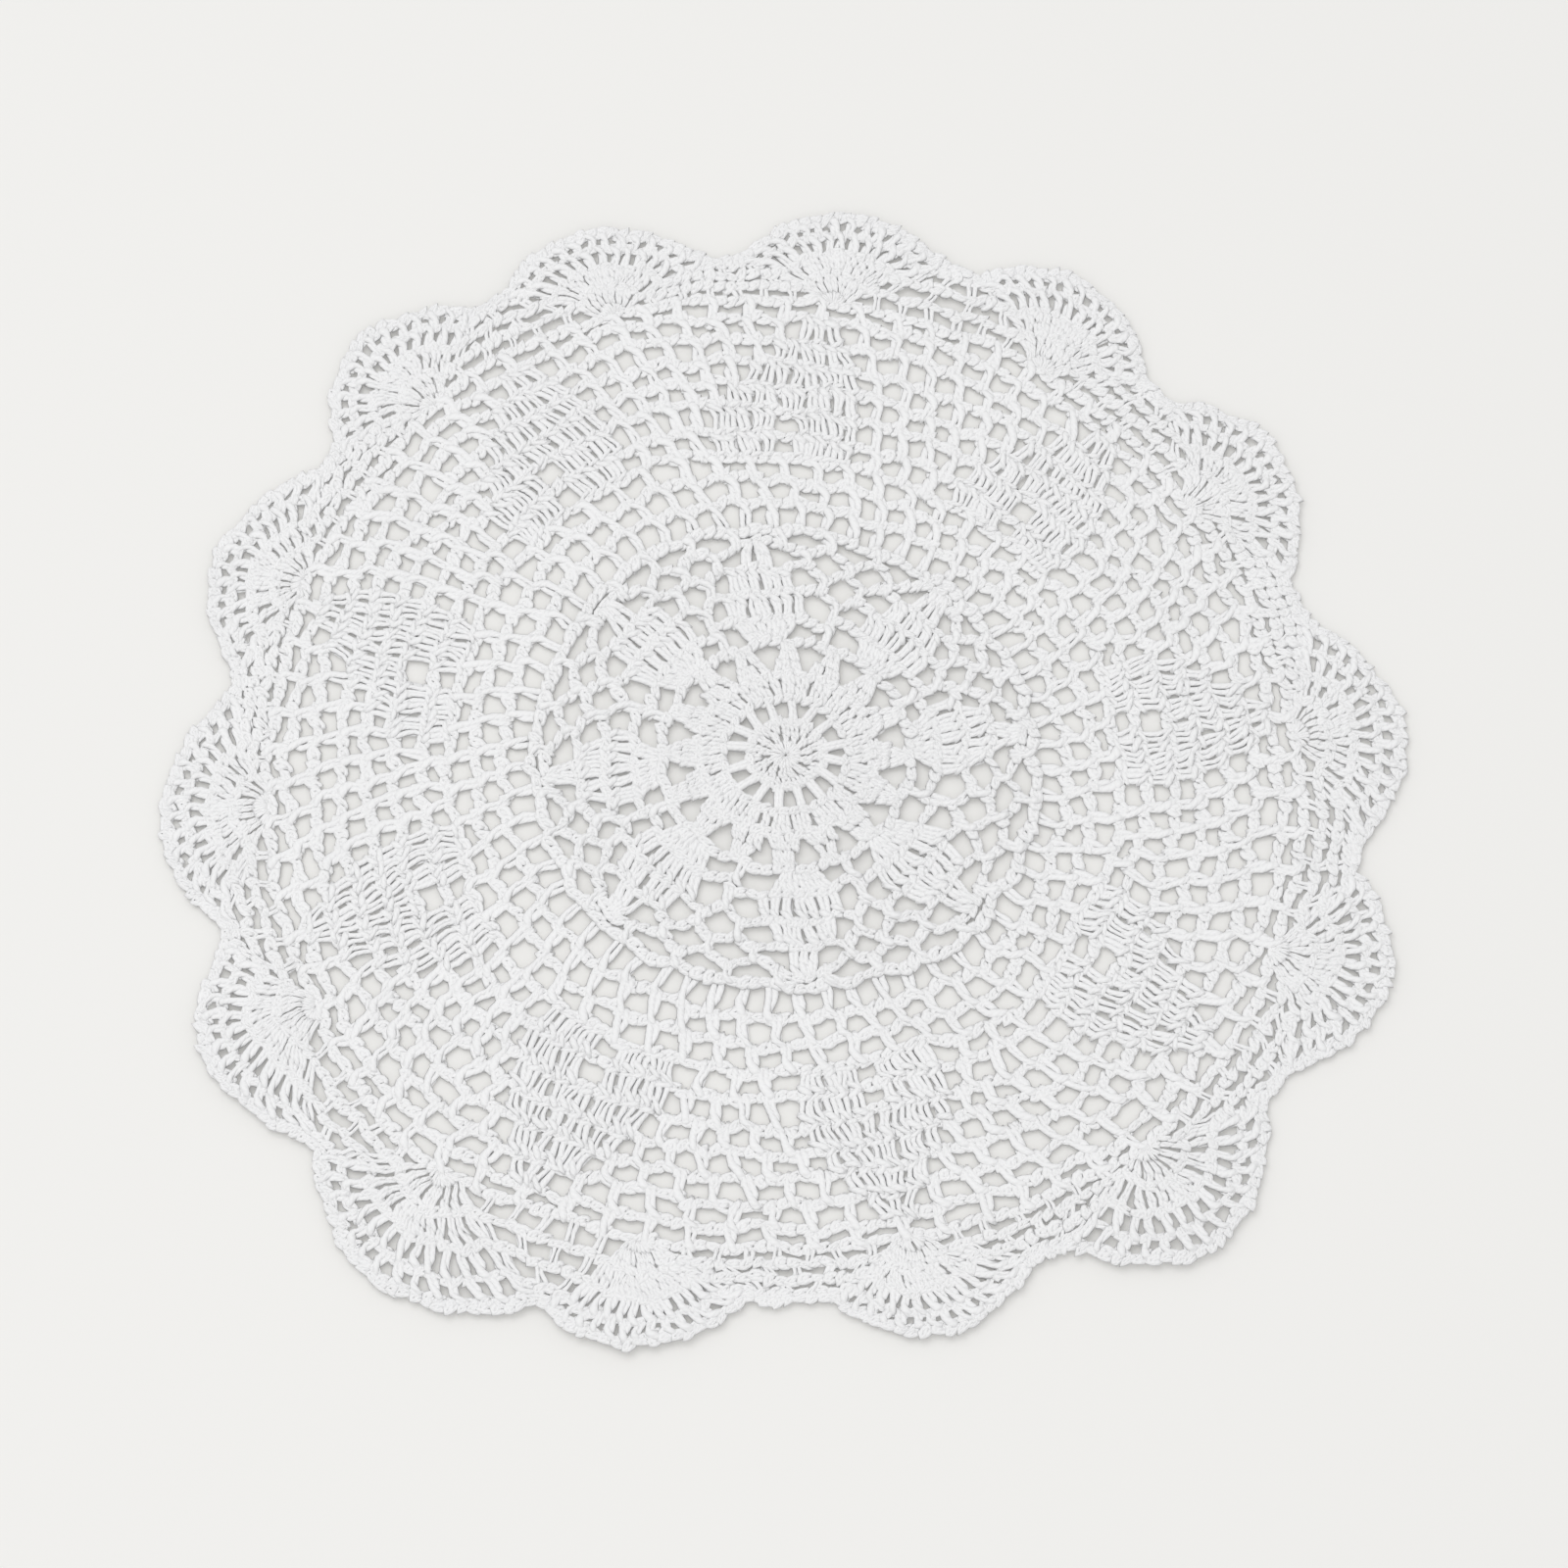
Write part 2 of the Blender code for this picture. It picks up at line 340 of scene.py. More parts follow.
# The cloth's unevenness, in mm: how far its stitches stray, from which radius on and over how
# much more of it, and the same for how far its rim lifts.
CLOTH_STRAY, STRAY_START, STRAY_REACH = 0.32, 10, 40
RIM_LIFT, RIM_START, RIM_REACH = 1.3, 95, 60
# The stray's waves to the right and ahead: radians for each mm of x and of y, and the start.
STRAY_RIGHT = ((0.11, 0.37, 0.0), (-0.52, 0.81, 0.0))
STRAY_AHEAD = ((0.41, -0.17, 1.0), (0.72, 0.63, 0.0))


def plan(bearing, radius):
    """Points of the plan in mm, from arrays of bearings and radii."""
    turn = np.radians(bearing)
    return np.stack((radius * np.sin(turn), radius * np.cos(turn)), axis=-1)


def unit(vectors):
    """The vectors, each made one long."""
    return vectors / np.maximum(np.linalg.norm(vectors, axis=-1, keepdims=True), 1e-9)


def right_of(along):
    """The plan's directions to the right of these."""
    return np.stack((along[..., 1], -along[..., 0]), axis=-1)


def resampled(points, count, closed=False):
    """count points evenly along a line of the plan, its direction at each, and its length."""
    if closed:
        points = np.concatenate((points, points[:1]))
    steps = np.linalg.norm(np.diff(points, axis=0), axis=1)
    run = np.concatenate(([0.0], np.cumsum(steps)))

    def places(wanted):
        """The points that lie this far along the line."""
        return np.stack([np.interp(wanted, run, points[:, axis]) for axis in (0, 1)], axis=-1)

    wanted = np.linspace(0.0, run[-1], count, endpoint=not closed)
    return places(wanted), unit(places(wanted + LOOK) - places(wanted - LOOK)), run[-1]


class Yarn:
    """Lengths of yarn, gathered as paths and made one mesh at the end."""

    def __init__(self, seed, bulk):
        self.chance = np.random.default_rng(seed)
        self.bulk = bulk
        self.groups = []

    def vary(self, count, spread):
        """Bell-shaped chance values, never beyond twice their spread."""
        return np.clip(self.chance.normal(0.0, spread, count), -2 * spread, 2 * spread)

    def work(self, pattern):
        """Every part of a pattern, in its order."""
        for part in pattern:
            if isinstance(part, Line):
                self.chain(part)
            else:
                self.posts(part)

    def posts(self, part):
        """Stitches of one kind."""
        count = len(part.feet)
        side = right_of(unit(part.tops - part.feet))
        foot_stray = POST_STRAY["foot"] * part.loose * part.taper
        feet = part.feet + side * self.vary(count, foot_stray)[:, None]
        tops = part.tops + side * self.vary(count, POST_STRAY["top"] * part.loose)[:, None]
        width = part.width * (1 + self.vary(count, POST_STRAY["width"]))
        lift = self.vary(count, POST_STRAY["lift"])
        for strand in part.strands:
            self.strand(strand, feet, tops, width, lift, part)

    def strand(self, strand, feet, tops, width, lift, part):
        """One strand of every post, by a table of side, share, extra, height and radius."""
        side, share, extra, level, radius = strand.T
        along = unit(tops - feet)
        height = np.linalg.norm(tops - feet, axis=1)
        narrow = part.taper + (1 - part.taper) * share
        count, steps = len(feet), len(share)
        sideways = side * narrow * width[:, None]
        sideways = sideways + self.vary((count, steps), STRAND_STRAY["side"])
        inner = (share > 0) * (share < 1)
        share = share + self.vary(count, STRAND_STRAY["share"])[:, None] * inner
        beyond = extra * np.minimum(height / FULL_HEIGHT, 1.0)[:, None]
        beyond = beyond * (part.taper + END_REACH * (1 - part.taper))
        run = share * height[:, None] + beyond
        flat = feet[:, None] + along[:, None] * run[..., None]
        flat = flat + right_of(along)[:, None] * sideways[..., None]
        radius = radius * narrow * part.bulk * self.bulk
        level = level + lift[:, None] + self.vary((count, steps), STRAND_STRAY["level"])
        level = np.maximum(level, radius + CLEAR)
        self.groups.append((np.concatenate((flat, level[..., None]), -1), radius))

    def chain(self, line):
        """Chain stitches along a line of the plan."""
        length = resampled(line.points, 2, True)[2]
        count = round(length / line.pitch)
        places, along, _ = resampled(line.points, count, True)
        pitch = length / count
        side = right_of(along)
        turn = CHAIN_LEAN + self.vary(count, CHAIN_STRAY["turn"] * line.loose)[:, None]
        along, side = unit(along + turn * side), unit(side - turn * along)
        places = places + side * self.vary(count, CHAIN_STRAY["side"] * line.loose)[:, None]
        stretch = pitch * (1 + self.vary(count, CHAIN_STRAY["pitch"]))[:, None]
        spread = line.width * (1 + self.vary(count, CHAIN_STRAY["width"]))[:, None]
        lift = self.vary(count, CHAIN_STRAY["lift"])[:, None]
        for share, out, level, radius in (strand.T for strand in CHAIN):
            ahead = (share - CHAIN_MIDDLE) * stretch
            flat = places[:, None] + along[:, None] * ahead[..., None]
            flat = flat + side[:, None] * (out * spread)[..., None]
            level = level + lift + self.vary((count, len(share)), CHAIN_STRAY["level"])
            radius = radius * self.bulk * (CHAIN_BULK + (1 - CHAIN_BULK) * line.width)
            self.groups.append((np.concatenate((flat, level[..., None]), -1), radius))

    def made(self, name, pressed):
        """The piece, one mesh of closed tubes."""
        places, corners, sizes, uvs = [], [], [], []
        offset = 0
        for points, radius in self.groups:
            count, steps, _ = points.shape
            sides, ends = tube_faces(count, steps)
            places.append(tube_skin(points, radius))
            corners += [sides.ravel() + offset, ends.ravel() + offset]
            sizes += [np.full(len(sides), 4), np.full(len(ends), SIDES)]
            starts = self.chance.random(count) * YARN_START
            uvs += [tube_uv(points, starts), np.full((ends.size, 2), END_ROUND)]
            offset += count * steps * SIDES
        return mesh_piece(
            name, draped(np.concatenate(places), pressed), np.concatenate(corners),
            np.concatenate(sizes), np.concatenate(uvs),
        )


def tube_skin(points, radius):
    """The points round tubes along these paths."""
    along = unit(np.gradient(points, axis=1))
    side = unit(np.cross(along, UP))
    up = np.cross(side, along)
    turn = -2 * np.pi * np.arange(SIDES) / SIDES - TOP_FLAT
    ring = np.cos(turn)[:, None] * side[:, :, None] + np.sin(turn)[:, None] * up[:, :, None]
    return (points[:, :, None] + ring * radius[None, :, None, None]).reshape(-1, 3)


def tube_faces(count, steps):
    """The sides and the ends of count tubes, each face as indexes of their points."""
    index = np.arange(count * steps * SIDES).reshape(count, steps, SIDES)
    after = np.roll(index, -1, axis=2)
    sides = np.stack((index[:, :-1], after[:, :-1], after[:, 1:], index[:, 1:]), axis=-1)
    return sides.reshape(-1, 4), np.concatenate((index[:, 0, ::-1], index[:, -1]))


def tube_uv(points, starts):
    """The UVs of tubes' sides: mm along the yarn, and the share of the way round it."""
    gaps = np.linalg.norm(np.diff(points, axis=1), axis=2)
    run = np.concatenate((np.zeros((len(points), 1)), np.cumsum(gaps, axis=1)), axis=1)
    run = run + starts[:, None]
    lower, upper = run[:, :-1, None], run[:, 1:, None]
    left = np.arange(SIDES) / SIDES + 0 * lower
    right = left + 1 / SIDES
    low, high = lower + 0 * left, upper + 0 * left
    corners = ((low, left), (low, right), (high, right), (high, left))
    return np.stack([np.stack(corner, -1) for corner in corners], axis=-2).reshape(-1, 2)


def mesh_piece(name, places, corners, sizes, uv):
    """An object from its points in mm, each face's corners one after another, and their UVs."""
    mesh = bpy.data.meshes.new(name)
    mesh.vertices.add(len(places))
    mesh.vertices.foreach_set("co", (places * MM).ravel())
    mesh.loops.add(len(corners))
    mesh.loops.foreach_set("vertex_index", corners.astype(np.int32))
    mesh.polygons.add(len(sizes))
    mesh.polygons.foreach_set("loop_start", np.concatenate(([0], np.cumsum(sizes)[:-1])))
    mesh.update(calc_edges=True)
    mesh.uv_layers.new(name="yarn").data.foreach_set("uv", uv.ravel())
    mesh.validate()
    mesh.shade_smooth()
    piece = bpy.data.objects.new(name, mesh)
    bpy.context.scene.collection.objects.link(piece)
    return piece


def line_strip(line):
    """The web under a line: its plan corners, each piece's four, and that the pieces join."""
    count = round(resampled(line.points, 2, True)[2] / WEB_STEP)
    places, along, _ = resampled(line.points, count, True)
    half = right_of(along) * WEB_LINE * line.width / 2
    corners = np.stack((places - half, places + half), axis=1).reshape(-1, 2)
    left = 2 * np.arange(count)
    ahead = np.roll(left, -1)
    return corners, np.stack((left, left + 1, ahead + 1, ahead), axis=-1), True


def post_strip(part):
    """The web under posts in the same way, a loose piece for each."""
    half = right_of(unit(part.tops - part.feet)) * WEB_POST * part.width / 2
    corners = np.stack(
        (part.feet - half * part.taper, part.feet + half * part.taper,
         part.tops + half, part.tops - half), axis=1,
    ).reshape(-1, 2)
    return corners, np.arange(len(corners)).reshape(-1, 4), False


def web_mesh(strips):
    """One mesh of all the strips, each closed and about as thick as the web."""
    places, faces = [], []
    offset = 0
    for number, (corners, quads, joined, pressed) in enumerate(strips):
        count = len(corners)
        thin = np.zeros(count)
        if not joined:
            thin += WEB_THIN * (1 + 2 * (number % 4) + np.arange(count) // 4 % 2)
        for level in (WEB_LOW + thin, WEB_HIGH - thin):
            places.append(draped(np.column_stack((corners, level)), pressed))
        low = quads + offset
        high = low + count
        faces += [high, low[:, ::-1]]
        for a, b in ((1, 2), (3, 0)) if joined else ((0, 1), (1, 2), (2, 3), (3, 0)):
            faces.append(np.stack((low[:, a], low[:, b], high[:, b], high[:, a]), axis=-1))
        offset += 2 * count
    places = np.concatenate(places)
    corners = np.concatenate(faces).reshape(-1)
    uv = places[corners, :2] * (1.0, 0.0) + (0.0, WEB_ROUND)
    return mesh_piece("web", places, corners, np.full(len(corners) // 4, 4), uv)


def draped(points, pressed):
    """Points in mm as they lie: pressed to this share of their height, and uneven as cloth is."""
    x, y, z = points.T
    radius = np.hypot(x, y)
    bearing = np.arctan2(x, y)
    stray = CLOTH_STRAY * np.clip((radius - STRAY_START) / STRAY_REACH, 0, 1)
    rim = np.clip((radius - RIM_START) / RIM_REACH, 0, 1) ** 2
    wave = 0.5 + 0.5 * np.sin(5 * bearing + 0.7) * np.cos(3 * bearing - 1.1)  # from 0 to 1
    return np.stack(
        (
            x + stray * sum(np.sin(a * x + b * y + start) for a, b, start in STRAY_RIGHT),
            y + stray * sum(np.sin(a * x + b * y + start) for a, b, start in STRAY_AHEAD),
            pressed * z + RIM_LIFT * rim * wave,
        ),
        axis=-1,
    )


# ---------------------------------------------------------------- where the rounds lie


def net_radius(line, bearing):
    """Radius of a net line, 0 to 10, at these bearings."""
    marks, first, middle, last = np.array(NET).T
    low, high = (first, middle) if NET_SHARES[line] <= 1 else (middle, last)
    share = NET_SHARES[line] - (NET_SHARES[line] > 1)
    radius = np.interp(np.mod(bearing, 360), marks, low + (high - low) * share, period=360)
    return radius + wander(line, bearing)


def wander(line, bearing):
    """How far a line strays in mm, as hand work does."""
    turn = np.radians(bearing)
    return sum(size * np.sin(number * turn + shift * line) for size, number, shift in WAVES)


def ring(radius):
    """The line at this radius, drawn out with the net as it comes near it."""

    def radius_at(bearing):
        reach = max(0.0, (radius - SHELL_TOP) / (NET_START - SHELL_TOP))
        return radius * (1 + reach * (net_radius(0, bearing) / NET_START - 1))

    return radius_at


def net_line(line):
    """A net line as a function of the bearing."""
    return lambda bearing: net_radius(line, bearing)


def tented(radius_at, own, pulled, sag=0.6, pull=0.7, solid=(), rise=0.0):
    """A line as plan points: drawn in at its own posts, and out where the next round's stand.

    At the edges of a solid figure it is out by rise.
    """
    marks = np.mod(np.concatenate((own, pulled, solid)), 360)
    moves = np.repeat((-sag, pull, rise), (len(own), len(pulled), len(solid)))
    order = np.argsort(marks)
    move = np.interp(ROUND, marks[order], moves[order], period=360)
    return plan(ROUND, radius_at(ROUND) + move)


def between(start, stop, share):
    """The bearing at a share of the way round from start to stop."""
    return start + ((stop - start) % 360) * share


def spaced(marks, shares, half=0.0):
    """Bearings at these shares of the way from each mark to the next, less half at both."""
    return np.concatenate(
        [between(a + half, b - half, shares) for a, b in zip(marks, np.roll(marks, -1))]
    )


def leaf_layout():
    """For each leaf row: its lines, its close posts' feet, tops and width, and its free posts."""
    rows = []
    low = SHELL_TOP
    for radius, foot, top, count, width, free in LEAF_ROWS:
        spread = np.linspace(-1, 1, count)
        feet = [leaf + np.degrees(spread * foot / low) for leaf in LEAVES]
        tops = [leaf + np.degrees(spread * top / radius) for leaf in LEAVES]
        shares = np.arange(1, free + 1) / (free + 1)
        single = spaced(LEAVES, shares, math.degrees(top / radius))
        rows.append((low, radius, feet, tops, width, single))
        low = radius
    return rows


def tulip_bearings(row):
    """The tulips' bearings at one row, as they lean."""
    foot, tip = np.array(TULIPS).T
    return foot + (tip - foot) * TULIP_ROWS[row][0]


def net_layout():
    """For each round of net: its free posts' bearings and all places that draw its line in."""
    rounds = []
    for first in EVEN_ROUNDS:
        posts = first + np.arange(EVEN_CELLS) * 360 / EVEN_CELLS
        rounds.append((posts, posts))
    for row, (_, _, half, _, cells) in enumerate(TULIP_ROWS):
        centres = tulip_bearings(row)
        posts = spaced(centres, np.arange(1, cells) / cells, half)
        rounds.append((posts, np.concatenate((posts, centres - half, centres + half))))
    posts = spaced(tulip_bearings(-1), np.arange(LAST_CELLS) / LAST_CELLS)
    rounds.append((posts, posts))
    return rounds


def standing(posts, marks):
    """Where these posts stand: on the nearest post or edge below, or near it."""
    marks = np.sort(np.mod(marks, 360))
    apart = np.mod(marks[None] - posts[:, None] + 180, 360) - 180
    nearest = apart[np.arange(len(posts)), np.abs(apart).argmin(axis=1)]
    return posts + np.clip(nearest, -STEP_BACK, STEP_ON)


def arch(index, row, inset=0.0):
    """One scallop's arch of a border line, -1 being the net's edge, as plan points."""
    foot, crest, last_foot, top, valley, fan = SCALLOPS[index]
    if row < 0:
        bearing = fan + np.degrees(np.linspace(-FAN_FOOT, FAN_FOOT, FOOT_POINTS) / top)
        return plan(bearing, net_radius(NET_EDGE, bearing))
    rise, reach, low, power, fullness = BORDER_ROWS[row][:5]
    shares = np.sin(np.linspace(-1 + inset, 1 - inset, ARCH_POINTS) * np.pi / 2)
    middle = fan + (crest - fan) * rise
    width = np.where(shares < 0, middle - (fan + (foot - fan) * reach),
                     fan + (last_foot - fan) * reach - middle)
    bearing = middle + shares * width
    edge = net_radius(NET_EDGE, bearing)
    base = edge + (np.where(shares < 0, SCALLOPS[index - 1][4], valley) - edge) * low
    crest_edge = net_radius(NET_EDGE, crest)
    peak = crest_edge + (top - crest_edge) * rise
    radius = base + (peak - base) * (1 - np.abs(shares) ** power) ** fullness
    return plan(bearing, radius - EDGE_INSET * (rise == 1))


def hollow(index, row, reached):
    """A border line between one scallop's arch and the next one's, as plan points.

    reached is the row whose arches it ends at.
    """
    _, _, last_foot, _, valley, fan = SCALLOPS[index]
    next_foot, _, _, _, _, next_fan = SCALLOPS[(index + 1) % len(SCALLOPS)]
    low = 0.0 if row < 0 else BORDER_ROWS[row].low
    reach = BORDER_ROWS[reached].reach
    start = fan + (last_foot - fan) * reach
    stop = next_fan + (next_foot - next_fan) * reach
    bearing = between(start, stop, np.linspace(0, 1, HOLLOW_POINTS))
    edge = net_radius(NET_EDGE, bearing)
    return plan(bearing, edge + (valley - edge) * low - EDGE_INSET * (low == 1))


def border_line(row):
    """A whole line of the border, arches and hollows by turns, as plan points."""
    parts = []
    for index in range(len(SCALLOPS)):
        parts += [arch(index, row), hollow(index, row, row)[1:-1]]
    return np.concatenate(parts)


# ---------------------------------------------------------------- the pieces


def rosette():
    """The centre disc, the windows between the spokes, the dense ring and its shells."""
    core = np.arange(CORE_RAYS) * 360 / CORE_RAYS
    spokes = SPOKE_TURN + np.arange(SPOKES) * 360 / SPOKES
    crowded = np.arange(RING_POSTS) * 360 / RING_POSTS
    pattern = [
        Posts(RAY, plan(core, CORE_HOLE), plan(core, CORE_TOP),
              width=0.80, taper=0.2, loose=0.8, bulk=1.2),
        Posts(RAY, plan(spokes, DISC_TOP), plan(spokes, WINDOW_TOP),
              width=0.60, taper=1.25, loose=2.4, bulk=1.32),
    ]
    for foot, top, count, width in RIMS:
        rim = np.arange(count) * 360 / count
        ends = plan(rim, foot), plan(rim, top)
        pattern.append(Posts(SHORT, *ends, width, taper=foot / top, loose=2.2))
    pattern += [
        Line(plan(ROUND, DISC_TOP), pitch=2.6, width=0.72, loose=3.0),
        Line(plan(ROUND, WINDOW_TOP), pitch=2.5, width=0.7, loose=2.0),
        Posts(SHORT, plan(crowded, WINDOW_TOP), plan(crowded, RING_TOP),
              width=0.88, taper=0.86, loose=2.2),
        Line(plan(ROUND, RING_TOP), pitch=2.7, width=0.9, loose=2.0),
    ]
    spread = np.linspace(-1, 1, SHELL_POSTS)
    tips = SHELL_TURN + np.arange(SHELLS) * 360 / SHELLS
    for tip in tips:
        levels = [plan(tip + np.degrees(spread * half / radius), np.full(SHELL_POSTS, radius))
                  for radius, half in SHELL_LEVELS]
        for feet, tops, (width, bulk) in zip(levels, levels[1:], SHELL_STITCHES):
            pattern.append(Posts(SHORT, feet, tops, width, loose=2.4, bulk=bulk))
    top = tented(ring(SHELL_TOP), tips, tips + 180 / SHELLS, sag=0.4, pull=1.0)
    pattern.append(Line(top, pitch=2.8, width=0.85))
    return pattern


def leaves():
    """Eight leaves, the chain arches between them and the arches that carry the net."""
    pattern = []
    rows = leaf_layout()
    arches = spaced(LEAVES, (np.arange(ARCHES) + 0.5) / ARCHES)
    for number, (low, high, feet, tops, width, free) in enumerate(rows):
        inner, outer = ring(low), ring(high)
        first, last = number == 0, number == len(rows) - 1
        strands = SHORT if first or last else DENSE
        rise = TIP_RISE if last else 0.0
        for foot, top in zip(feet, tops):
            ends = plan(foot, inner(foot)), plan(top, outer(top) + rise)
            pattern.append(Posts(strands, *ends, width, loose=2.0, bulk=1.02))
        low_ends = inner(free) + (0.0 if first else HONEYCOMB_POST)
        ends = plan(free, low_ends), plan(free, outer(free) - HONEYCOMB_POST)
        pattern.append(Posts(POST, *ends, width=0.95))
        pulled = arches if last else rows[number + 1][-1]
        edges = np.array([(top[0], top[-1]) for top in tops]).ravel()
        line = tented(outer, free, pulled, HONEYCOMB, HONEYCOMB, edges, rise)
        pattern.append(Line(line, width=0.84))
    ends = plan(arches, outer(arches) + HONEYCOMB_POST), plan(arches, net_radius(0, arches))
    pattern.append(Posts(POST, *ends))
    pattern.append(Line(tented(net_line(0), arches, arches + 180 / len(arches), pull=0.4)))
    return pattern


def net_rounds(first, last):
    """The net from one round as far as another, with the lines on top of them."""
    rounds = net_layout()
    chance = np.random.default_rng(first)
    pattern = []
    for index in range(first, last):
        stand, marks = rounds[index]
        feet = stand if index == 0 else standing(stand, rounds[index - 1][1])
        stray = chance.normal(0.0, NET_STRAY, len(stand))
        stray = np.clip(stray, -2 * NET_STRAY, 2 * NET_STRAY)
        low, high = net_line(index), net_line(index + 1)
        ends = plan(feet + stray, low(feet)), plan(stand, high(stand))
        pattern.append(Posts(POST, *ends, width=1.12, loose=1.2, bulk=1.1))
        pulled = np.array([])
        if index + 1 < len(rounds):
            pulled = standing(rounds[index + 1][0], marks)
        pattern.append(Line(tented(high, marks, pulled), width=0.98, loose=1.3))
    return pattern


def inner_net():
    """The three plain rounds of net, and the first two between the tulips."""
    return net_rounds(0, INNER_ROUNDS)


def outer_net():
    """The net's outer rounds, as far as the border."""
    return net_rounds(INNER_ROUNDS, NET_ROUNDS)


def tulips():
    """Nine solid tulips in the net, each with an open eye."""
    pattern = []
    for row, (_, foot, top, count, _) in enumerate(TULIP_ROWS):
        low, high = (net_line(len(EVEN_ROUNDS) + line) for line in (row, row + 1))
        for tulip in tulip_bearings(row):
            spreads = [np.linspace(-1, 1, count)]
            if row < EYE_ROWS:
                half = np.linspace(EYE / top, 1, count // 2)
                spreads = [-half[::-1], half]
            for spread in spreads:
                feet, tops = tulip + spread * foot, tulip + spread * top
                ends = plan(feet, low(feet)), plan(tops, high(tops))
                pattern.append(Posts(DENSE, *ends, width=1.2, loose=2.1))
    return pattern


def border_posts(row, strands, width, taper):
    """One row's posts in the arches."""
    spread = np.linspace(-1, 1, BORDER_ROWS[row].count)
    spread = np.sign(spread) * np.abs(spread) ** BORDER_ROWS[row].crowd
    picked = np.round(ARCH_PLACES + ARCH_PLACES * spread).astype(int)
    pattern = []
    for index in range(len(SCALLOPS)):
        feet, tops = (
            resampled(arch(index, line, ARCH_INSET), 2 * ARCH_PLACES + 1)[0][picked]
            for line in (row - 1, row)
        )
        pattern.append(Posts(strands, feet, tops, width, taper, loose=1.6))
    return pattern


def hollow_posts(row):
    """One row's posts in the hollows between the arches."""
    low, reached = (-1, row) if row == 1 else (row - 1, row - 1)
    pattern = []
    for index in range(len(SCALLOPS)):
        line = hollow(index, row, row)
        room = max(1, round(resampled(line, 2)[2] / BORDER_ROWS[row].pitch))
        feet, tops = (resampled(one, 2 * room + 1)[0][1::2]
                      for one in (hollow(index, low, reached), line))
        pattern.append(Posts(RAY, feet, tops, width=1.1, loose=2.5))
    return pattern


def fans():
    """The fans of the border, and the close arches round them."""
    return (
        border_posts(0, RAY, width=0.6, taper=0.5)
        + border_posts(1, SHORT, width=0.66, taper=0.5)
        + hollow_posts(1)
        + [Line(border_line(1), pitch=2.8, width=0.85, loose=2.0)]
        + border_posts(2, SHORT, width=0.80, taper=0.7)
        + hollow_posts(2)
        + [Line(border_line(2), pitch=2.8, width=0.9, loose=2.0)]
    )


def windows():
    """The two open rows of the border."""
    return (
        border_posts(3, POST, width=0.9, taper=0.9)
        + hollow_posts(3)
        + [Line(border_line(3), pitch=2.8, width=0.74, loose=1.8)]
        + border_posts(4, POST, width=0.9, taper=0.95)
        + hollow_posts(4)
        + [Line(border_line(4), pitch=2.8, width=0.7, loose=1.8)]
    )


def edging():
    """The last row, close stitches with a bumpy edge."""
    return (
        border_posts(5, RAY, width=1.0, taper=1.0)
        + hollow_posts(5)
        + [Line(border_line(5), pitch=2.8, width=0.72, loose=1.1)]
    )


# The pieces, and how high the stitches of each stand, as a share of the tables' heights. Open
# ones lie flatter.
ZONES = {
    rosette: 1.15,
    leaves: 0.96,
    inner_net: 0.54,
    outer_net: 0.54,
    tulips: 0.72,
    fans: 0.76,
    windows: 0.66,
    edging: 0.70,
}
SEED = 11  # of the first piece's chance values, the next one's being one more


def crochet(zone, bulk):
    """One zone of the cloth, in yarn of this bulk."""
    yarn = Yarn(SEED + list(ZONES).index(zone), bulk)
    yarn.work(zone())
    return yarn.made(zone.__name__, ZONES[zone])


def web():
    """The cloth as one thin sheet with the lace's openings, inside the yarn."""
    strips = []
    for zone, pressed in ZONES.items():
        for part in zone():
            strip = line_strip(part) if isinstance(part, Line) else post_strip(part)
            strips.append((*strip, pressed))
    return web_mesh(strips)


# ---------------------------------------------------------------- finish

YARN_NAME = "white cotton yarn"
PLIES, PLY_TURN = 3, 4.6  # of the yarn, and the mm in which they go once round it
PAINTED_UNDERSIDE_SHADE = 0.66  # painted shade: share of the cotton's whiteness on the yarn's undersides, where strands meet
DARK_BELOW, WHITE_ABOVE = -0.2, 0.6  # where the painted shade is full and where it ends, by how far a side of the yarn faces up, 1 being straight
UNEVEN, UNEVEN_SCALE, UNEVEN_DETAIL = 0.93, 90.0, 3.0  # least whiteness, and its clouds
FUZZ, FUZZ_SCALE, FUZZ_DETAIL = 0.5, 3200.0, 2.0  # height beside a ply's, and its grain
BUMP, BUMP_DISTANCE = 0.35, 0.0003  # strength, and height in metres


